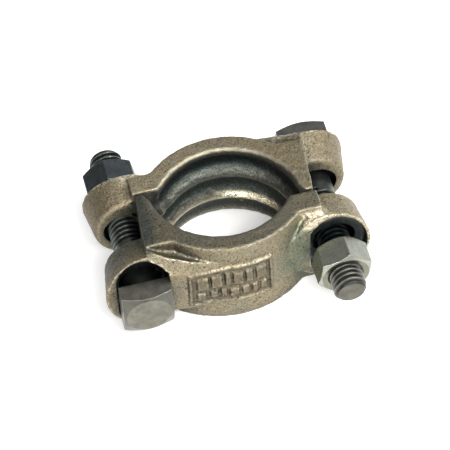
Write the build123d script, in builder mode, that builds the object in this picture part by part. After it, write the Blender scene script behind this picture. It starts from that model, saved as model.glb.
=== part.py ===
from build123d import *
import math
import os

# Double-bolt cast clamp: two identical ribbed half castings, two square-head bolts, two hex nuts.
# Millimetres. Z is the bore axis, X runs through both bolts, Y is the clamping direction.
# The origin is the centre of the bore, half way up.

# castings
HALF_HEIGHT = 14.3
BORE_SHIFT = 6.16
BORE_R = 20.7
RIB_R = 18.9
VALLEY_R = 21.6
RIB_Z = 5.0
WALL_R_TOP = 26.0
WALL_R_BOTTOM = 28.6
ARM_DRAFT = 2.7
SPLIT_Y = 5.97
TONGUE_TIP_Y = -5.3
NUT_ARM_END_X = -25.1
NUT_ARM_Y = 12.2
HEAD_ARM_Y = 12.8
BLEND_R = 3.0
POCKET_FLOOR_Y = 13.5
HOLE_R = 6.1

# plain bars on the raised panel: centre from the panel's middle, width
PANEL_UPPER_BARS = ((-8.7, 3.0), (-5.2, 2.0), (-2.0, 2.8), (1.0, 1.5), (4.2, 3.0), (8.2, 3.2))
PANEL_LOWER_BARS = ((-9.2, 1.8), (-6.6, 1.5), (-3.9, 2.0), (-0.7, 2.6), (2.3, 1.5), (5.1, 2.2), (8.7, 2.4))

# bolts and nuts, 3/8 inch, 16 threads to the inch
BOLT_X = 28.0
BOLT_DROP = 0.9
MAJOR_R = 4.7625
PITCH = 1.5875
THREAD_DEPTH = 0.92
SHANK_LENGTH = 50.8
THREAD_LENGTH = 34.9
SQUARE_AF = 14.29
HEAD_HEIGHT = 6.35
HEAD_SEAT_Y = 18.5
HEX_AF = 14.29
NUT_HEIGHT = 8.33
NUT_SEAT_Y = 18.0
NUT_BORE_R = MAJOR_R + 0.05


def blend_arc(centre, wall_r, arm_y, side):
    # the hollow corner between an arm and the ring: on the arm, half way, on the ring
    middle = Vector(0, arm_y + BLEND_R) + Vector(centre.X, 0)
    reach = math.sqrt((wall_r + BLEND_R) ** 2 - (middle.Y - centre.Y) ** 2)
    middle = middle + Vector(side * reach, 0)
    on_ring = middle + (centre - middle).normalized() * BLEND_R
    on_arm = middle - Vector(0, BLEND_R)
    half_way = middle + ((on_ring + on_arm) * 0.5 - middle).normalized() * BLEND_R
    return on_arm, half_way, on_ring


def outline(z, inset):
    # the walls lean out towards the lower face, by fall = 0 at the top and 1 at the bottom
    fall = (HALF_HEIGHT - z) / (2 * HALF_HEIGHT)
    wall_r = WALL_R_TOP + (WALL_R_BOTTOM - WALL_R_TOP) * fall - inset
    grow = ARM_DRAFT * fall - inset
    centre = Vector(0.9 * fall, -BORE_SHIFT + 0.16 * fall)
    left = blend_arc(centre, wall_r, NUT_ARM_Y + grow, -1)
    right = blend_arc(centre, wall_r, HEAD_ARM_Y + grow, 1)
    with BuildSketch(Plane.XY.offset(z)) as sk:
        with BuildLine():
            Polyline(right[0], (30, right[0].Y), (30, -8), (-30, -8), (-30, left[0].Y), left[0])
            ThreePointArc(*left)
            ThreePointArc(left[2], centre + Vector(0, wall_r), right[2])
            ThreePointArc(*right)
        make_face()
    return sk.sketch


def ring_and_arms():
    with BuildPart() as p:
        for z, inset in ((-14.3, 0.7), (-14.1, 0.3), (-13.6, 0), (13.8, 0), (14.15, 0.15), (14.3, 0.45)):
            add(outline(z, inset))
        loft(ruled=True)
        with BuildSketch(Plane.XY.offset(-HALF_HEIGHT - 1)) as keep:
            with BuildLine():
                Polyline(
                    (NUT_ARM_END_X, SPLIT_Y), (-17.7, SPLIT_Y), (-15.4, 7.3), (-8, 7.3), (8, -2.4),
                    (20.5, -2.4), (22.2, TONGUE_TIP_Y), (24.4, TONGUE_TIP_Y), (24.9, 1.0),
                    (25.8, 13.0), (25.8, 40), (NUT_ARM_END_X, 40), close=True,
                )
            make_face()
            tip = keep.vertices().filter_by(lambda v: v.X > 22 and v.Y < 0)
            fillet(tip, radius=0.9)
        extrude(amount=2 * HALF_HEIGHT + 2, mode=Mode.INTERSECT)
    return p.part


def ribbed_bore():
    with BuildPart() as p:
        with BuildSketch(Plane.XZ.offset(BORE_SHIFT)):
            with BuildLine():
                wave = Spline(
                    (VALLEY_R + 0.5, -14.6), (BORE_R, -13.1), (VALLEY_R, -9.6), (RIB_R, -RIB_Z),
                    (VALLEY_R - 0.2, 0), (RIB_R, RIB_Z), (VALLEY_R, 9.6), (BORE_R, 13.1),
                    (VALLEY_R + 0.5, 14.6),
                )
                Polyline(wave @ 1, (0, 14.6), (0, -14.6), wave @ 0)
            make_face()
        revolve(axis=Axis((0, -BORE_SHIFT, 0), (0, 0, 1)))
    return p.part


def boss(face, rim, crown, dome_radius):
    # face and rim: centre x, y, half width, half height. crown: y and z of the rim's highest line
    with BuildPart() as p:
        for x, y, half_width, half_height in (face, rim):
            with BuildSketch(Plane(origin=(x, y, 0), x_dir=(1, 0, 0), z_dir=(0, 1, 0))):
                Ellipse(half_width, half_height)
        loft()
        inner = p.faces().sort_by(Axis.Y)[0].edges()
        fillet(inner, radius=1.6)
        with Locations((rim[0], crown[0] - dome_radius, crown[1])):
            Cylinder(dome_radius, 60, rotation=(0, 90, 0), mode=Mode.INTERSECT)
    return p.part


def web(sections):
    # each section: x, then (y, z) of the root, the valley, the ridge and the front edge, then the crown's y
    with BuildPart() as p:
        for x, root, valley, ridge, front, crown_y in sections:
            upper = [root, valley, ridge, front]
            lower = [(y, -z) for y, z in reversed(upper)]
            with BuildSketch(Plane(origin=(x, 0, 0), x_dir=(0, 1, 0), z_dir=(1, 0, 0))):
                with BuildLine():
                    Polyline(*upper, (crown_y, 0), *lower, close=True)
                make_face()
        loft(ruled=True)
    return p.part


def head_web():
    return web((
        (25.8, (7.0, 10.6), (13.0, 14.0), (13.7, 14.1), (16.1, 12.9), 18.0),
        (20.85, (8.0, 11.0), (14.4, 11.0), (16.3, 12.4), (20.3, 7.9), 20.6),
        (14.0, (9.0, 9.8), (16.9, 9.8), (18.6, 10.6), (20.6, 7.8), 20.9),
        (5.0, (10.0, 8.4), (18.5, 8.4), (20.0, 8.3), (20.1, 7.9), 20.4),
    ))


def nut_web():
    return web((
        (-25.1, (7.0, 11.0), (12.0, 12.9), (13.2, 12.8), (14.9, 11.7), 16.0),
        (-20.9, (7.0, 11.0), (12.4, 12.4), (13.4, 12.0), (15.6, 9.4), 16.2),
        (-17.7, (8.0, 9.0), (13.7, 9.0), (14.5, 8.8), (15.5, 8.2), 16.5),
        (-12.5, (9.0, 4.0), (15.0, 4.0), (16.0, 3.8), (16.8, 3.4), 17.2),
    ))


def head_pocket():
    # a long recess just wide enough to keep the square head from turning
    with BuildPart() as p:
        for y, length in ((POCKET_FLOOR_Y, 22.4), (POCKET_FLOOR_Y + 12, 30.4)):
            with BuildSketch(Plane(origin=(BOLT_X, y, 0), x_dir=(0, 0, 1), z_dir=(0, 1, 0))):
                SlotOverall(length, SQUARE_AF + 0.4)
        loft()
        with BuildSketch(Plane(origin=(BOLT_X - 3.6, POCKET_FLOOR_Y, 0), x_dir=(0, 0, 1), z_dir=(0, 1, 0))):
            RectangleRounded(18.6, 7.6, 1.2)
        extrude(amount=12)
        with Locations((0, POCKET_FLOOR_Y, 0)):
            Box(2 * BOLT_X - SQUARE_AF, 60, 60, mode=Mode.SUBTRACT)
    return p.part


def nut_pocket():
    # an oval recess, wider at its mouth, with a flat wall towards the bore
    with BuildPart() as p:
        for y, half_width, half_height in ((POCKET_FLOOR_Y, 8.9, 10.8), (POCKET_FLOOR_Y + 12, 10.3, 12.4)):
            with BuildSketch(Plane(origin=(-BOLT_X + 0.1, y, 0), x_dir=(1, 0, 0), z_dir=(0, 1, 0))):
                Ellipse(half_width, half_height)
        loft()
        with Locations((0, POCKET_FLOOR_Y, 0)):
            Box(2 * BOLT_X - SQUARE_AF, 60, 60, mode=Mode.SUBTRACT)
    return p.part


def panel_limit():
    with BuildPart() as p:
        with BuildSketch(Plane.XY.offset(-8)):
            with Locations((0.7, -BORE_SHIFT + 0.12)):
                Circle(28.9)
        with BuildSketch(Plane.XY.offset(8)):
            with Locations((0.2, -BORE_SHIFT + 0.04)):
                Circle(27.45)
        loft()
        with BuildSketch(Plane.YZ.offset(3.5)):
            with BuildLine():
                Polyline((12, -7.6), (12, 7.6), (21.2, 7.6), (21.8, 0), (21.2, -7.6), close=True)
            make_face()
        extrude(amount=13)
    return p.part


def name_panel():
    # a thin raised frame round two rows of plain bars, proud of the outer wall and the head web
    with BuildPart() as p:
        with BuildSketch(Plane.XZ.offset(-16.5)):
            with Locations((3.6, 0.1)):
                Rectangle(24.4, 14.4)
                Rectangle(22.6, 12.6, mode=Mode.SUBTRACT)
            for x, width in PANEL_UPPER_BARS:
                with Locations((3.6 + x, 2.5)):
                    Rectangle(width, 4.4)
            for x, width in PANEL_LOWER_BARS:
                with Locations((3.6 + x, -3.0)):
                    Rectangle(width, 2.8)
        extrude(amount=-9)
        add(panel_limit(), mode=Mode.INTERSECT)
    return p.part


def half_casting():
    with BuildPart() as p:
        add(ring_and_arms())
        add(boss((-26.2, 5.1, 10.5, 11.2), (-26.4, 16.9, 12.0, 12.9), (16.2, -5.0), 100.0))
        with Locations((-20.0, 0, 0)):
            Box(11.2, 2 * SPLIT_Y, 2 * HALF_HEIGHT, mode=Mode.SUBTRACT)
        add(boss((26.4, 6.3, 10.3, 10.6), (26.4, 20.8, 12.9, 14.6), (18.2, -5.0), 70.0))
        add(head_web())
        add(nut_web())
        add(name_panel())
        add(ribbed_bore(), mode=Mode.SUBTRACT)
        add(head_pocket(), mode=Mode.SUBTRACT)
        add(nut_pocket(), mode=Mode.SUBTRACT)
        with BuildSketch(Plane.XZ.offset(-40)):
            with Locations((-BOLT_X, 0), (BOLT_X, 0)):
                Circle(HOLE_R)
        extrude(amount=60, mode=Mode.SUBTRACT)
    return p.part


def square_bolt():
    # head outward face towards +Y, thread towards -Y, seat under the head at HEAD_SEAT_Y
    under = Plane(origin=(0, HEAD_SEAT_Y, 0), x_dir=(1, 0, 0), z_dir=(0, 1, 0))
    tip_y = HEAD_SEAT_Y - SHANK_LENGTH
    half = SQUARE_AF / 2
    with BuildPart() as p:
        with BuildSketch(under):
            Rectangle(SQUARE_AF, SQUARE_AF)
        extrude(amount=HEAD_HEIGHT)
        with BuildSketch(Plane.XY):
            with BuildLine():
                Polyline(
                    (0, HEAD_SEAT_Y - 1), (half * 1.5, HEAD_SEAT_Y - 1),
                    (half * 1.5, HEAD_SEAT_Y + HEAD_HEIGHT - 2.2),
                    (half * 0.9, HEAD_SEAT_Y + HEAD_HEIGHT), (0, HEAD_SEAT_Y + HEAD_HEIGHT), close=True,
                )
            make_face()
        revolve(axis=Axis.Y, mode=Mode.INTERSECT)
        with BuildSketch(Plane.XY):
            with BuildLine():
                Polyline(
                    (0, HEAD_SEAT_Y + 1), (MAJOR_R, HEAD_SEAT_Y + 1), (MAJOR_R, tip_y + 1.1),
                    (MAJOR_R - 0.95, tip_y), (0, tip_y), close=True,
                )
            make_face()
        revolve(axis=Axis.Y)
    return p.part


def thread_groove(start_y, length):
    with BuildPart() as p:
        with BuildLine() as spiral:
            Helix(pitch=PITCH, height=length, radius=MAJOR_R, center=(0, start_y, 0), direction=(0, 1, 0))
        path = spiral.edges()[0]
        outward = (path @ 0) - Vector(0, start_y, 0)
        with BuildSketch(Plane(origin=path @ 0, x_dir=outward, z_dir=path % 0)):
            with BuildLine():
                Polyline(
                    (-THREAD_DEPTH, -0.12), (-THREAD_DEPTH, 0.12), (0.12, 0.72), (0.12, -0.72), close=True,
                )
            make_face()
        sweep(path=path, is_frenet=True)
    return p.part


def hex_nut():
    seat = Plane(origin=(0, NUT_SEAT_Y, 0), x_dir=(1, 0, 0), z_dir=(0, 1, 0))
    top = NUT_SEAT_Y + NUT_HEIGHT
    flat = HEX_AF / 2 * 0.95
    with BuildPart() as p:
        with BuildSketch(seat):
            RegularPolygon(HEX_AF / 2, 6, major_radius=False, rotation=19.3)
        extrude(amount=NUT_HEIGHT)
        with BuildSketch(Plane.XY):
            with BuildLine():
                Polyline(
                    (0, NUT_SEAT_Y), (flat, NUT_SEAT_Y), (flat + 2, NUT_SEAT_Y + 1.15),
                    (flat + 2, top - 1.15), (flat, top), (0, top), close=True,
                )
            make_face()
        revolve(axis=Axis.Y, mode=Mode.INTERSECT)
        with BuildSketch(seat):
            Circle(NUT_BORE_R)
        extrude(amount=NUT_HEIGHT, mode=Mode.SUBTRACT)
        rims = p.edges().filter_by(GeomType.CIRCLE).filter_by(lambda e: abs(e.radius - NUT_BORE_R) < 0.01)
        chamfer(rims, length=0.5)
    return p.part


def threaded_bolt():
    with BuildPart() as p:
        add(square_bolt())
        add(thread_groove(HEAD_SEAT_Y - SHANK_LENGTH - 0.8, THREAD_LENGTH), mode=Mode.SUBTRACT)
    return p.part


casting = half_casting()
bolt = threaded_bolt()
nut = hex_nut()

with BuildPart() as clamp_half_back:
    add(casting)
clamp_half_back.part.label = "clamp_half_back"

with BuildPart() as clamp_half_front:
    add(casting.rotate(Axis.Z, 180))
clamp_half_front.part.label = "clamp_half_front"

with BuildPart() as right_bolt:
    add(bolt.moved(Location((BOLT_X, 0, -BOLT_DROP))))
right_bolt.part.label = "right_bolt"

with BuildPart() as left_bolt:
    add(right_bolt.part.rotate(Axis.Z, 180))
left_bolt.part.label = "left_bolt"

with BuildPart() as left_nut:
    add(nut.moved(Location((-BOLT_X, 0, -BOLT_DROP))))
left_nut.part.label = "left_nut"

with BuildPart() as right_nut:
    add(left_nut.part.rotate(Axis.Z, 180))
right_nut.part.label = "right_nut"

os.makedirs("parts", exist_ok=True)
export_step(clamp_half_front.part, "parts/clamp_half_front.step")
export_step(clamp_half_back.part, "parts/clamp_half_back.step")
export_step(left_bolt.part, "parts/left_bolt.step")
export_step(right_bolt.part, "parts/right_bolt.step")
export_step(left_nut.part, "parts/left_nut.step")
export_step(right_nut.part, "parts/right_nut.step")
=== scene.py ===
"""How the pipe clamp looks: dull gold zinc on cast iron, zinc-plated bolts and nuts, and a pale floor.

Masks are shader values from 0 to 1, worked out from where a point lies and which way the surface faces.
Places are in the part's own frame, in millimetres: X along the clamp, Y from front to back, Z up. A
casting's side is -1 for the front half and 1 for the back one. The back half is the front one turned half
round Z, so one set of masks serves both.
"""
import math

import bpy
from mathutils import Matrix, Vector


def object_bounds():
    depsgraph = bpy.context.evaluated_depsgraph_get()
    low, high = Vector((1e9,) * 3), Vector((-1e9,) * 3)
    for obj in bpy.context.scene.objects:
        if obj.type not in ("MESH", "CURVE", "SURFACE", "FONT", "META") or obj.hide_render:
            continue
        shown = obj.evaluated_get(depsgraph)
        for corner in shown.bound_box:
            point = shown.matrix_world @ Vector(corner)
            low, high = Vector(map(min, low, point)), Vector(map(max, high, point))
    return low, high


MM = 0.001
WHITE = (1.0, 1.0, 1.0)

# camera, in the part's own frame
CAMERA_AZIMUTH = -11.71
CAMERA_ELEVATION = 53.32
CAMERA_ROLL = -3.10
CAMERA_DISTANCE = 827.7 * MM
CAMERA_AIM = (-0.22 * MM, -0.78 * MM)
CAMERA_LENS = 233.8
SENSOR_WIDTH = 36.0
FAR_CLIP = 20.0

# where the clamp's features lie
HALF_HEIGHT = 14.3
BORE_SHIFT = 6.16
BOLT_X = 28.0
BOLT_DROP = 0.9

# how far out from its centre line a wall still counts as the bore's or as a pocket's
BORE_REACH = 23.0
POCKET_REACH = 12.4

# the back half's raised panel, frame and all, in X and Z
PANEL_CENTRE = (3.6, 0.1)
PANEL_HALF_SIZE = (12.1, 7.1)

# Where each mask fades, as (from, to): along X, Y or Z, or out from the centre line of a hole or bolt (R).
# One that rises and falls again has two such ranges. Y counts outward on either half. X counts to the right
# for the crest and the ends, toward the nut for its wall and web, and toward the head for its lug.
UPPER_FACE_Z = (12.6, 13.6)
UPPER_LIP_Z = (13.1, 13.9)
ENDS_X = (-30, 30)
CREST_X = ((-1, 7), (21, 15))
CREST_Z = ((-2.7, -4.2), (-9.0, -7.4))
PANEL_FACE_Y = (15.0, 16.0)
POCKET_FLOOR_Y = ((12.4, 13.0), (14.3, 13.9))
POCKET_FLOOR_R = (11.5, 10.5)
POCKET_SHADE_R = (7.2, 11.0)
HOLE_EDGE_R = (8.0, 9.6)
NUT_WALL_X = ((4.0, 10.0), (25.0, 17.0))
NUT_WALL_Y = (11.0, 14.0)
NUT_WALL_R = (20.0, 13.0)
WEB_X = ((16.5, 20.0), (29.0, 25.5))
WEB_Y = (10.0, 12.0)
WEB_Z = ((8.0, 10.0), (13.8, 12.6))
HEAD_LUG_X = (20.0, 24.0)
HEAD_LUG_Y = (17.0, 9.0)
THREAD_R = (4.72, 4.05)
HEAD_DISC_R = (6.3, 6.6)

# Stretches of the bolts along Y where shade is painted. The shaded ones start beside the head. The left
# bolt's runs on past the end of its thread, and the right bolt's stops inside its nut. The darkest shade is
# painted on the one that lies in the front half's hole and pocket.
LEFT_SHADED_Y = (-17.8, 60)
RIGHT_SHADED_Y = (-22, 17.8)
RIGHT_DEEP_SHADE_Y = (-18.4, -6.0)

# the rounded cast skin
CAST_VOXEL = 0.30 * MM
CAST_SMOOTHING = 6
LUMP_SIZE = 1.9 * MM
LUMP_DEPTH = 0.30 * MM

# the castings' colours
GOLD_ZINC = (0.268, 0.223, 0.139)
OLIVE_ZINC = (0.240, 0.215, 0.150)
DARK_GRAIN = (0.085, 0.074, 0.054)
PALE_FLECK = (0.46, 0.40, 0.28)
PIT = (0.035, 0.026, 0.018)
# from here on, painted shade and painted highlights; the ridges' and lip's colour is partly wear
RECESS_SHADE = (0.042, 0.058, 0.057)
CREASE_SHADE = (0.035, 0.037, 0.032)
RIDGE_AND_LIP_LIGHT = (0.36, 0.32, 0.235)
GLINT = (0.74, 0.67, 0.51)
CREST_HIGHLIGHT = (0.93, 0.87, 0.68)
POCKET_SHADE_BLACK = (0.012, 0.018, 0.020)
POCKET_SHADE_TEAL = (0.095, 0.122, 0.120)

# tones that a colour is multiplied by; all but the bore's grain tones and the panel's are painted shade
BORE_GRAIN_TONES = ((0.45, 0.5, 0.5), (1.4, 1.35, 1.25))
PANEL_TONE = (0.62, 0.61, 0.60)
LEFT_WALL_SHADE = (0.50, 0.46, 0.41)
GREEN_SHADE_TONE = (0.68, 0.85, 0.88)
SHADE_TONE = (0.52, 0.60, 0.64)
DEEP_SHADE_TONE = (0.12, 0.16, 0.17)

# place up the bore's wall, from 0 at the lower face to 1 at the upper one, and the colour there: painted
# shade in the hollows, painted highlights on the lips and ribs
BORE_LIGHT_BANDS = (
    # lower lip
    (0.0, (0.36, 0.335, 0.27)), (0.04, (0.30, 0.28, 0.23)), (0.075, (0.12, 0.12, 0.105)),
    # hollow under the lower rib
    (0.115, (0.055, 0.060, 0.055)), (0.17, (0.050, 0.056, 0.052)),
    # lower rib
    (0.23, (0.20, 0.19, 0.16)), (0.30, (0.42, 0.39, 0.31)), (0.35, (0.33, 0.31, 0.25)),
    (0.395, (0.085, 0.09, 0.08)),
    # hollow between the ribs
    (0.43, (0.040, 0.048, 0.046)), (0.58, (0.046, 0.054, 0.050)),
    # upper rib
    (0.65, (0.10, 0.11, 0.10)), (0.70, (0.165, 0.175, 0.155)), (0.745, (0.095, 0.105, 0.098)),
    # hollow under the upper lip
    (0.785, (0.020, 0.027, 0.027)), (0.90, (0.024, 0.032, 0.032)),
    # upper lip
    (1.0, (0.12, 0.12, 0.10)),
)

# light colour, dark colour and roughness of each steel
BOLT_TONES = ((0.185, 0.180, 0.154), (0.118, 0.117, 0.104), 0.34)
# the right bolt's and left nut's tones are darker copies of the bolt's and nut's, painted shade
SHADED_BOLT_TONES = ((0.150, 0.150, 0.133), (0.096, 0.098, 0.090), 0.36)
NUT_TONES = ((0.30, 0.31, 0.27), (0.225, 0.24, 0.21), 0.27)
SHADED_NUT_TONES = ((0.070, 0.082, 0.086), (0.046, 0.056, 0.060), 0.28)

# painted shade on faces that face along the axis: the ends and head faces of both bolts and the faces of
# the right nut
LEFT_END_SHADE = (0.93, 0.92, 0.86)
RIGHT_END_SHADE = (0.78, 0.75, 0.68)
NUT_END_SHADE = (0.62, 0.58, 0.52)

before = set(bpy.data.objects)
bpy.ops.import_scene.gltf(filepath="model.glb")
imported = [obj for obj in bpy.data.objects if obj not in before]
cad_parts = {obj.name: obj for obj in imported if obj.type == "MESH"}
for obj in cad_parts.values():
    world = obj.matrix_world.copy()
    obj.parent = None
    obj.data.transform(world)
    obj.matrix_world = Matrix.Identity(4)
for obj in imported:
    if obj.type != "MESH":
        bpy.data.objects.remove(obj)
cad_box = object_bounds()
bottom = cad_box[0][2]


# ---- nodes ----

def new_material(name):
    material = bpy.data.materials.new(name)
    material.use_nodes = True
    return material, material.node_tree, material.node_tree.nodes["Principled BSDF"]


def plug(tree, socket, value):
    """Links another node's output to the socket, or sets the socket's own value."""
    if isinstance(value, bpy.types.NodeSocket):
        tree.links.new(value, socket)
    else:
        socket.default_value = value


def add_node(tree, kind, inputs=None, **settings):
    made = tree.nodes.new(kind)
    for key, value in settings.items():
        setattr(made, key, value)
    for key, value in (inputs or {}).items():
        plug(tree, made.inputs[key], value)
    return made


def math_node(tree, operation, a, b=0.0):
    return add_node(tree, "ShaderNodeMath", {0: a, 1: b}, operation=operation).outputs[0]


def product(tree, first, *others):
    result = first
    for other in others:
        result = math_node(tree, "MULTIPLY", result, other)
    return result


def greatest(tree, a, b):
    return math_node(tree, "MAXIMUM", a, b)


def absolute(tree, value):
    return math_node(tree, "ABSOLUTE", value)


def without(tree, mask, share=1.0):
    """1 where the mask is 0, and less by this share where it is 1."""
    return math_node(tree, "SUBTRACT", 1.0, product(tree, mask, share))


def vector_node(tree, operation, a, b=(0, 0, 0), output="Vector"):
    return add_node(tree, "ShaderNodeVectorMath", {0: a, 1: b}, operation=operation).outputs[output]


def separate(tree, vector):
    return add_node(tree, "ShaderNodeSeparateXYZ", {0: vector}).outputs


def facing(tree, normal="Normal"):
    """X, Y and Z of the way that the surface faces."""
    return separate(tree, add_node(tree, "ShaderNodeNewGeometry").outputs[normal])


def ramp(tree, value, low, high, smooth=True):
    """From 0 at low to 1 at high. high may be the smaller."""
    kind = "SMOOTHSTEP" if smooth else "LINEAR"
    inputs = {"Value": value, "From Min": low, "From Max": high}
    made = add_node(tree, "ShaderNodeMapRange", inputs, interpolation_type=kind, clamp=True)
    return made.outputs["Result"]


def between(tree, value, rise, fall):
    """From 0 to 1 over the first range of values and back to 0 over the second."""
    return product(tree, ramp(tree, value, *rise), ramp(tree, value, *fall))


def mix_colour(tree, factor, a, b, blend="MIX"):
    made = add_node(tree, "ShaderNodeMix", data_type="RGBA", blend_type=blend)
    plug(tree, made.inputs[0], factor)
    for socket, colour in ((made.inputs[6], a), (made.inputs[7], b)):
        plug(tree, socket, (*colour, 1.0) if isinstance(colour, tuple) else colour)
    return made.outputs[2]


def tint(tree, colour, tone):
    return mix_colour(tree, 1.0, colour, tone, "MULTIPLY")


def tint_where(tree, mask, tone):
    """White, or this tone where the mask is 1."""
    return mix_colour(tree, mask, WHITE, tone)


def dimmed(colour, factor):
    return tuple(factor * part for part in colour)


def mix_value(tree, factor, a, b):
    made = add_node(tree, "ShaderNodeMix", data_type="FLOAT")
    for socket, value in zip((made.inputs[0], made.inputs[2], made.inputs[3]), (factor, a, b)):
        plug(tree, socket, value)
    return made.outputs[0]


def millimetres(tree):
    place = add_node(tree, "ShaderNodeTexCoord").outputs["Object"]
    return vector_node(tree, "MULTIPLY", place, (1 / MM,) * 3)


def noise(tree, place, scale, detail=2.0, roughness=0.5, distortion=0.0):
    inputs = {"Vector": place, "Scale": scale, "Detail": detail, "Roughness": roughness,
              "Distortion": distortion}
    return add_node(tree, "ShaderNodeTexNoise", inputs).outputs["Fac"]


def spots(tree, place, scale, size):
    inputs = {"Vector": place, "Scale": scale, "Randomness": 1.0}
    made = add_node(tree, "ShaderNodeTexVoronoi", inputs)
    return ramp(tree, made.outputs["Distance"], size, size * 0.4)


def bump(tree, height, strength, distance, normal):
    inputs = {"Height": height, "Strength": strength, "Distance": distance, "Normal": normal}
    return add_node(tree, "ShaderNodeBump", inputs).outputs["Normal"]


# ---- masks ----

def line_offset(tree, place, centre, keep):
    """From a line through centre to the surface. keep is 0 along the line and 1 across it."""
    return vector_node(tree, "MULTIPLY", vector_node(tree, "SUBTRACT", place, centre), keep)


def length(tree, vector):
    return vector_node(tree, "LENGTH", vector, output="Value")


def inside_mask(tree, place, centre, keep, reach, turned=-0.10):
    """1 on walls within reach that face a line through centre.

    turned is how far they have to face it, from 0 for edge on to -1 for square on.
    """
    offset = line_offset(tree, place, centre, keep)
    outward = vector_node(tree, "NORMALIZE", offset)
    normal = add_node(tree, "ShaderNodeNewGeometry").outputs["Normal"]
    turn = vector_node(tree, "DOT_PRODUCT", normal, outward, "Value")
    inside = ramp(tree, turn, turned + 0.15, turned - 0.15)
    return product(tree, inside, ramp(tree, length(tree, offset), reach + 0.6, reach - 0.6))


def hole_radius(tree, place):
    """How far a point is from the nearer bolt hole's centre line."""
    parts = separate(tree, place)
    across = math_node(tree, "SUBTRACT", absolute(tree, parts["X"]), BOLT_X)
    spoke = add_node(tree, "ShaderNodeCombineXYZ", {"X": across, "Z": parts["Z"]}).outputs[0]
    return length(tree, spoke)


def pocket_mask(tree, place, radius):
    """1 in both bolt pockets and holes, and on the pockets' floors."""
    walls = [inside_mask(tree, place, (x, 0, 0), (1, 0, 1), POCKET_REACH, -0.62) for x in (-BOLT_X, BOLT_X)]
    outward = absolute(tree, separate(tree, place)["Y"])
    endwise = ramp(tree, absolute(tree, facing(tree)["Y"]), 0.65, 0.85)
    near = ramp(tree, radius, *POCKET_FLOOR_R)
    floor = product(tree, near, endwise, between(tree, outward, *POCKET_FLOOR_Y))
    return greatest(tree, greatest(tree, *walls), floor)


def nut_side_mask(tree, place, side, radius):
    """1 on the outer wall beside the nut's pocket."""
    parts = separate(tree, place)
    outside = ramp(tree, product(tree, parts["Y"], side), *NUT_WALL_Y)
    nut_end = between(tree, product(tree, parts["X"], -side), *NUT_WALL_X)
    return product(tree, outside, nut_end, ramp(tree, radius, *NUT_WALL_R))


def web_mask(tree, place, side):
    """1 on the upper part of the web that joins the nut's lug to the ring."""
    parts = separate(tree, place)
    outside = ramp(tree, product(tree, parts["Y"], side), *WEB_Y)
    across = between(tree, product(tree, parts["X"], -side), *WEB_X)
    return product(tree, outside, across, between(tree, parts["Z"], *WEB_Z))


def head_lug_mask(tree, place, side):
    """1 on the inner part of the lug that holds the bolt's head."""
    parts = separate(tree, place)
    inboard = ramp(tree, product(tree, parts["Y"], side), *HEAD_LUG_Y)
    return product(tree, inboard, ramp(tree, product(tree, parts["X"], side), *HEAD_LUG_X))


def top_mask(tree, place):
    """1 on the flat upper face of a half."""
    level = ramp(tree, facing(tree)["Z"], 0.70, 0.90)
    return product(tree, level, ramp(tree, separate(tree, place)["Z"], *UPPER_FACE_Z))


def panel_mask(tree, place, side):
    """1 on the raised panel, on its frame, on its bars and between them."""
    parts = separate(tree, place)
    mask = ramp(tree, product(tree, parts["Y"], side), *PANEL_FACE_Y)
    centre = (side * PANEL_CENTRE[0], PANEL_CENTRE[1])
    for value, middle, half in zip((parts["X"], parts["Z"]), centre, PANEL_HALF_SIZE):
        away = absolute(tree, math_node(tree, "SUBTRACT", value, middle))
        mask = product(tree, mask, ramp(tree, away, half + 0.5, half - 0.5))
    return mask


def edge_mask(tree, radius, low, high):
    """A bevelled normal, and 1 along edges, where a bevel of this radius would turn the surface."""
    rounded = add_node(tree, "ShaderNodeBevel", {"Radius": radius}, samples=6).outputs[0]
    true_normal = add_node(tree, "ShaderNodeNewGeometry").outputs["True Normal"]
    turn = vector_node(tree, "DOT_PRODUCT", true_normal, rounded, "Value")
    return rounded, ramp(tree, turn, low, high)


def crest_mask(tree, place):
    """1 where a highlight is painted on the lower rib's crest, right of the middle."""
    parts = separate(tree, place)
    middle = between(tree, parts["X"], *CREST_X)
    crest = between(tree, parts["Z"], *CREST_Z)
    broken = ramp(tree, noise(tree, place, 1.3, 4.0, 0.65), 0.30, 0.50)
    return product(tree, middle, crest, broken)


def glint_mask(tree, place, side, radius, panel):
    """1 where highlights are painted on the casting: broken lines along its edges, and patches on the nut's
    web.
    """
    edge = edge_mask(tree, 1.5 * MM, 0.990, 0.88)[1]
    broken = ramp(tree, noise(tree, place, 1.1, 3.0, 0.6), 0.45, 0.55)
    off_top = without(tree, top_mask(tree, place), 0.85)
    off_holes = ramp(tree, radius, *HOLE_EDGE_R)
    lines = product(tree, edge, broken, off_top, off_holes, without(tree, panel, 0.45))
    patches = ramp(tree, noise(tree, place, 0.9, 4.0, 0.7), 0.40, 0.60)
    return greatest(tree, lines, product(tree, web_mask(tree, place, side), patches))


# ---- cast iron ----

def skin_colour(tree, place, blotches, grain, pits):
    """The zinc finish with its blotches, dark and pale grain, and black pits."""
    warm = mix_colour(tree, ramp(tree, blotches, 0.32, 0.68), GOLD_ZINC, OLIVE_ZINC)
    dark = mix_colour(tree, ramp(tree, grain, 0.57, 0.33), warm, DARK_GRAIN)
    flecks = ramp(tree, noise(tree, place, 3.1, 3.0, 0.6), 0.56, 0.70)
    flecked = mix_colour(tree, product(tree, flecks, 0.55), dark, PALE_FLECK)
    return mix_colour(tree, product(tree, pits, 0.8), flecked, PIT)


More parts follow.
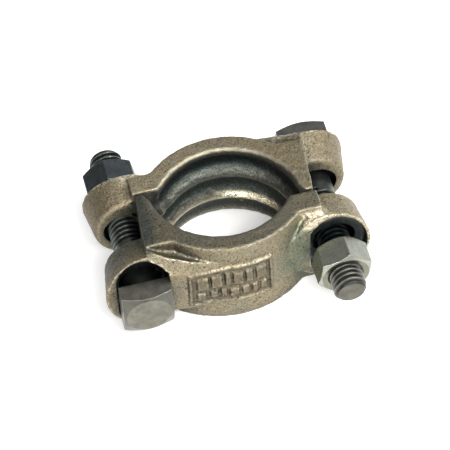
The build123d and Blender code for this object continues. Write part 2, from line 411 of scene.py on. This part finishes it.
def bore_colour(tree, place, grain, crest_highlight):
    """Painted shade in the hollows and painted highlights on the lips and ribs, brightest where the crest's
    highlight mask is 1.
    """
    height = ramp(tree, separate(tree, place)["Z"], -HALF_HEIGHT, HALF_HEIGHT, smooth=False)
    bands = add_node(tree, "ShaderNodeValToRGB", {0: height})
    while len(bands.color_ramp.elements) < len(BORE_LIGHT_BANDS):
        bands.color_ramp.elements.new(0.5)
    for element, (position, colour) in zip(bands.color_ramp.elements, BORE_LIGHT_BANDS):
        element.position = position
        element.color = (*colour, 1.0)
    shade = mix_colour(tree, crest_highlight, bands.outputs[0], CREST_HIGHLIGHT)
    darker, paler = (tint(tree, shade, tone) for tone in BORE_GRAIN_TONES)
    return mix_colour(tree, ramp(tree, grain, 0.32, 0.62), darker, paler)


def pocket_shade_colour(tree, radius):
    """Painted shade: nearly black beside the bolts, paler and greener out towards the pockets' walls."""
    return mix_colour(tree, ramp(tree, radius, *POCKET_SHADE_R), POCKET_SHADE_BLACK, POCKET_SHADE_TEAL)


def shade_wear_and_highlights(tree, place, base, bore):
    """Paints shade on what lies deep and in creases, brightens ridges partly as wear and partly as painted
    highlight, and paints a highlight on the bore's upper lip.
    """
    open_sky = add_node(tree, "ShaderNodeAmbientOcclusion", {"Distance": 9 * MM}, samples=6).outputs["AO"]
    recess = ramp(tree, open_sky, 0.86, 0.30)
    pointiness = add_node(tree, "ShaderNodeNewGeometry").outputs["Pointiness"]
    ridge = ramp(tree, pointiness, 0.51, 0.56)
    crease = ramp(tree, pointiness, 0.485, 0.44)
    lip = product(tree, bore, ramp(tree, separate(tree, place)["Z"], *UPPER_LIP_Z))
    ridge_and_lip_light = greatest(tree, product(tree, ridge, 0.45), product(tree, lip, 0.7))
    # painted shade in recesses, ridges brightened partly as wear and partly as painted highlight, and a
    # painted highlight on the upper lip
    recess_shaded = mix_colour(tree, product(tree, recess, 0.75), base, RECESS_SHADE)
    brightened = mix_colour(tree, ridge_and_lip_light, recess_shaded, RIDGE_AND_LIP_LIGHT)
    # painted shade in creases
    return mix_colour(tree, product(tree, crease, 0.7), brightened, CREASE_SHADE)


def iron_painted_shade(tree, place, side, radius, blotches, panel, tones):
    """The broad tones over a half, which its colour is multiplied by: painted shade on the upper face, on
    walls that face left, beside the nut's pocket and on the head's lug, and painted light and shade from
    one end of the half to the other.
    """
    top_shade, lengthwise_shades, lug_shade = tones
    # painted shade on the upper face; the panel has its own darker tone
    face_tone = mix_colour(tree, top_mask(tree, place), tint_where(tree, panel, PANEL_TONE), top_shade)
    # painted shade on walls that face left
    leftward = ramp(tree, facing(tree, "True Normal")["X"], -0.35, -0.85)
    left_shaded = tint_where(tree, leftward, LEFT_WALL_SHADE)
    # painted shade, greenish and patchy, on the outer wall beside the nut's pocket, but not on the web
    green_shade_patch = product(tree, nut_side_mask(tree, place, side, radius), ramp(tree, blotches, 0.30, 0.55))
    green_shaded = product(tree, green_shade_patch, without(tree, web_mask(tree, place, side)))
    wall_shade = mix_colour(tree, green_shaded, left_shaded, GREEN_SHADE_TONE)
    # painted light and shade, lighter toward one end of the half and darker toward the other
    along = ramp(tree, separate(tree, place)["X"], *ENDS_X, smooth=False)
    lengthwise_shaded = mix_colour(tree, along, *((tone,) * 3 for tone in lengthwise_shades))
    # painted shade on the inner part of the head's lug
    lug_shaded = tint(tree, lengthwise_shaded, tint_where(tree, head_lug_mask(tree, place, side), lug_shade))
    return tint(tree, face_tone, tint(tree, wall_shade, lug_shaded))


def cast_iron(name, side, tones):
    """tones are painted shading: the upper face's shade, the light and shade toward the left and right
    ends, and the shade on the head's lug.
    """
    material, tree, shader = new_material(name)
    place = millimetres(tree)
    radius = hole_radius(tree, place)
    bore = inside_mask(tree, place, (0, -side * BORE_SHIFT, 0), (1, 1, 0), BORE_REACH)
    panel = panel_mask(tree, place, side)
    glint = glint_mask(tree, place, side, radius, panel)
    crest_highlight = crest_mask(tree, place)

    blotches = noise(tree, place, 0.13, 3.0, 0.55)
    grain = noise(tree, place, 1.9, 5.0, 0.70)
    sand = noise(tree, place, 4.0, 3.0, 0.6)
    pits = greatest(tree, spots(tree, place, 0.50, 0.20), spots(tree, place, 1.15, 0.24))

    skin = skin_colour(tree, place, blotches, grain, pits)
    base = mix_colour(tree, bore, skin, bore_colour(tree, place, grain, crest_highlight))
    shaded_and_worn = shade_wear_and_highlights(tree, place, base, bore)
    # painted shade in the bolt pockets and holes
    pocket = product(tree, pocket_mask(tree, place, radius), 0.92)
    deep = mix_colour(tree, pocket, shaded_and_worn, pocket_shade_colour(tree, radius))
    # painted highlights along edges and on the nut's web
    sparkling = mix_colour(tree, product(tree, glint, 0.8), deep, GLINT)
    # painted shading over the half
    tone = iron_painted_shade(tree, place, side, radius, blotches, panel, tones)
    tree.links.new(tint(tree, sparkling, tone), shader.inputs["Base Color"])

    outer_roughness = mix_value(tree, glint, mix_value(tree, grain, 0.58, 0.40), 0.26)
    bore_roughness = mix_value(tree, crest_highlight, 0.34, 0.22)
    tree.links.new(mix_value(tree, bore, outer_roughness, bore_roughness), shader.inputs["Roughness"])
    highlighted_crest = product(tree, bore, crest_highlight)
    tree.links.new(mix_value(tree, highlighted_crest, 0.88, 0.70), shader.inputs["Metallic"])

    # the crest with the painted highlight has its normal leaned up, which brings the lamp's highlight down
    # onto it
    lift = add_node(tree, "ShaderNodeCombineXYZ", {"Z": product(tree, highlighted_crest, 0.8)}).outputs[0]
    normal = add_node(tree, "ShaderNodeNewGeometry").outputs["Normal"]
    leaned = vector_node(tree, "NORMALIZE", vector_node(tree, "ADD", normal, lift))
    coarse = bump(tree, grain, 0.62, 0.34 * MM, leaned)
    fine = bump(tree, sand, 0.4, 0.12 * MM, coarse)
    pitted = bump(tree, without(tree, pits), 0.4, 0.18 * MM, fine)
    tree.links.new(pitted, shader.inputs["Normal"])
    return material


# ---- steel ----

def steel_colour(tree, place, tones, edge, cloud, scuff):
    """Clouded zinc with scuffs and nicks, and edges painted bright, partly as wear and partly as painted
    highlight.
    """
    light, dark = tones
    nicks = spots(tree, place, 0.45, 0.12)
    base = mix_colour(tree, ramp(tree, cloud, 0.3, 0.7), dark, light)
    marks = product(tree, ramp(tree, scuff, 0.60, 0.74), 0.45)
    marked = mix_colour(tree, marks, base, dimmed(dark, 0.4))
    nicked = mix_colour(tree, product(tree, nicks, 0.5), marked, dimmed(dark, 0.3))
    # brighter edges: wear and painted highlight
    return mix_colour(tree, product(tree, edge, 0.6), nicked, dimmed(light, 2.1))


def zinc_steel(name, tones, centre_x, shaded_span=None, deep_shade_span=None, square_head=True, end_shade=WHITE):
    """A bolt's or nut's metal, round the axis at centre_x.

    The two ranges along Y are where painted shade darkens the metal, and where painted deep shade makes it
    nearly black.
    square_head paints shade on the slopes round a square head's disc. The end tone is painted shade on
    faces across the axis.
    """
    light, dark, roughness = tones
    material, tree, shader = new_material(name)
    place = millimetres(tree)
    rounded, edge = edge_mask(tree, 0.38 * MM, 0.985, 0.86)
    cloud = noise(tree, place, 0.35, 4.0, 0.6)
    scuff = noise(tree, place, 2.2, 5.0, 0.7, 0.6)
    colour = steel_colour(tree, place, (light, dark), edge, cloud, scuff)

    radius = length(tree, line_offset(tree, place, (centre_x, 0, -BOLT_DROP), (1, 0, 1)))
    slope = absolute(tree, facing(tree, "True Normal")["Y"])
    endwise = ramp(tree, slope, 0.93, 0.97)
    # painted shade in the thread's grooves
    groove_shade = product(tree, ramp(tree, radius, *THREAD_R), without(tree, endwise), 0.85)
    colour = mix_colour(tree, groove_shade, colour, dimmed(dark, 0.25))
    if square_head:
        # painted shade on the slopes round the head's disc
        corner = product(tree, ramp(tree, radius, *HEAD_DISC_R), ramp(tree, slope, 0.4, 0.6), 0.6)
        colour = mix_colour(tree, corner, colour, dimmed(dark, 0.5))
    along = separate(tree, place)["Y"]
    # painted shade, and painted deep shade, on these stretches of the bolt
    for span, soft, tone in ((shaded_span, 0.7, SHADE_TONE), (deep_shade_span, 0.3, DEEP_SHADE_TONE)):
        if span:
            start, end = span
            in_shade = between(tree, along, (start - soft, start + soft), (end + soft, end - soft))
            colour = tint(tree, colour, tint_where(tree, in_shade, tone))
    # painted shade on faces across the axis
    colour = tint(tree, colour, tint_where(tree, endwise, end_shade))
    tree.links.new(colour, shader.inputs["Base Color"])

    tree.links.new(mix_value(tree, scuff, roughness - 0.08, roughness + 0.10), shader.inputs["Roughness"])
    shader.inputs["Metallic"].default_value = 0.95
    ripple = bump(tree, cloud, 0.12, 0.25 * MM, rounded)
    tree.links.new(bump(tree, scuff, 0.16, 0.06 * MM, ripple), shader.inputs["Normal"])
    return material


# ---- pieces ----

def dress(node, material):
    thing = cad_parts[node]
    thing.data.materials.clear()
    thing.data.materials.append(material)
    return thing


def round_as_cast(thing):
    """Rounds every edge a little and gives the skin the low lumps of sand-cast metal."""
    remesh = thing.modifiers.new("cast_remesh", "REMESH")
    remesh.mode = "VOXEL"
    remesh.voxel_size = CAST_VOXEL
    remesh.use_smooth_shade = True
    smooth = thing.modifiers.new("cast_rounding", "SMOOTH")
    smooth.factor = 0.5
    smooth.iterations = CAST_SMOOTHING
    lumps = bpy.data.textures.new("cast_lumps", "CLOUDS")
    lumps.noise_scale = LUMP_SIZE
    lumps.noise_depth = 3
    displace = thing.modifiers.new("cast_skin", "DISPLACE")
    displace.texture = lumps
    displace.texture_coords = "LOCAL"
    displace.strength = LUMP_DEPTH
    displace.mid_level = 0.62


# ---- studio ----

def make_floor():
    bpy.ops.mesh.primitive_plane_add(size=6.0, location=(0, 0, bottom))
    floor = bpy.context.object
    floor.name = "floor"
    material, tree, shader = new_material("pale_floor")
    shades = noise(tree, millimetres(tree), 0.02, 2.0)
    tree.links.new(mix_colour(tree, shades, (0.86,) * 3, (0.88,) * 3), shader.inputs["Base Color"])
    shader.inputs["Roughness"].default_value = 0.9
    shader.inputs["Emission Color"].default_value = (*WHITE, 1.0)
    shader.inputs["Emission Strength"].default_value = 0.34
    floor.data.materials.append(material)


def area_light(name, place, size, power, colour):
    """A lamp aimed at the part's origin."""
    data = bpy.data.lights.new(name, "AREA")
    data.shape = "RECTANGLE"
    data.size, data.size_y = size
    data.energy = power
    data.color = colour
    light = bpy.data.objects.new(name, data)
    bpy.context.scene.collection.objects.link(light)
    light.location = place
    light.rotation_euler = (-Vector(place)).to_track_quat("-Z", "Y").to_euler()


def make_light():
    """A world that is brighter to the right and front, and three lamps."""
    world = bpy.data.worlds.new("studio")
    bpy.context.scene.world = world
    world.use_nodes = True
    tree = world.node_tree
    sky = add_node(tree, "ShaderNodeTexCoord").outputs["Generated"]
    toward = vector_node(tree, "DOT_PRODUCT", sky, (0.80, -0.55, 0.20), "Value")
    glow = mix_value(tree, ramp(tree, toward, -0.70, 0.60), 0.28, 1.01)
    background = tree.nodes["Background"]
    background.inputs["Color"].default_value = (*WHITE, 1.0)
    tree.links.new(glow, background.inputs["Strength"])
    area_light("key", (0.45, -0.25, 0.60), (0.30, 0.30), 6.2, (1.0, 0.98, 0.94))
    area_light("spark", (-0.36, -0.53, 0.46), (0.10, 0.10), 2.2, (1.0, 0.98, 0.94))
    area_light("front", (0.07, -0.42, 0.60), (0.26, 0.10), 2.4, (1.0, 0.99, 0.96))


def make_camera():
    azimuth, elevation, roll = (math.radians(a) for a in (CAMERA_AZIMUTH, CAMERA_ELEVATION, CAMERA_ROLL))
    back = Vector((math.sin(azimuth) * math.cos(elevation), -math.cos(azimuth) * math.cos(elevation),
                   math.sin(elevation)))
    level = Vector((math.cos(azimuth), math.sin(azimuth), 0))
    upright = back.cross(level)
    right = level * math.cos(roll) + upright * math.sin(roll)
    up = upright * math.cos(roll) - level * math.sin(roll)
    data = bpy.data.cameras.new("camera")
    data.lens = CAMERA_LENS
    data.sensor_width = SENSOR_WIDTH
    data.clip_end = FAR_CLIP
    camera = bpy.data.objects.new("camera", data)
    bpy.context.scene.collection.objects.link(camera)
    place = back * CAMERA_DISTANCE + level * CAMERA_AIM[0] + upright * CAMERA_AIM[1]
    axes = Matrix((right, up, back)).transposed().to_4x4()
    camera.matrix_world = Matrix.Translation(place) @ axes
    bpy.context.scene.camera = camera


make_camera()
make_light()
make_floor()
bpy.context.scene.view_settings.view_transform = "Standard"

# painted shading for each half: shade on the upper face, light and shade toward the left and right ends,
# and shade on the head's lug
back_shading = (WHITE, (1.12, 0.86), WHITE)
front_shading = ((0.58, 0.61, 0.66), (0.84, 1.14), (0.50, 0.60, 0.70))
round_as_cast(dress("clamp_half_back", cast_iron("cast_iron_back", 1.0, back_shading)))
round_as_cast(dress("clamp_half_front", cast_iron("cast_iron_front", -1.0, front_shading)))

dress("left_bolt", zinc_steel("bolt_steel_left", BOLT_TONES, -BOLT_X, LEFT_SHADED_Y, end_shade=LEFT_END_SHADE))
dress("right_bolt", zinc_steel("bolt_steel_right", SHADED_BOLT_TONES, BOLT_X, RIGHT_SHADED_Y, RIGHT_DEEP_SHADE_Y,
                               end_shade=RIGHT_END_SHADE))
dress("left_nut", zinc_steel("nut_steel_shaded", SHADED_NUT_TONES, -BOLT_X, square_head=False))
dress("right_nut", zinc_steel("nut_steel", NUT_TONES, BOLT_X, square_head=False, end_shade=NUT_END_SHADE))
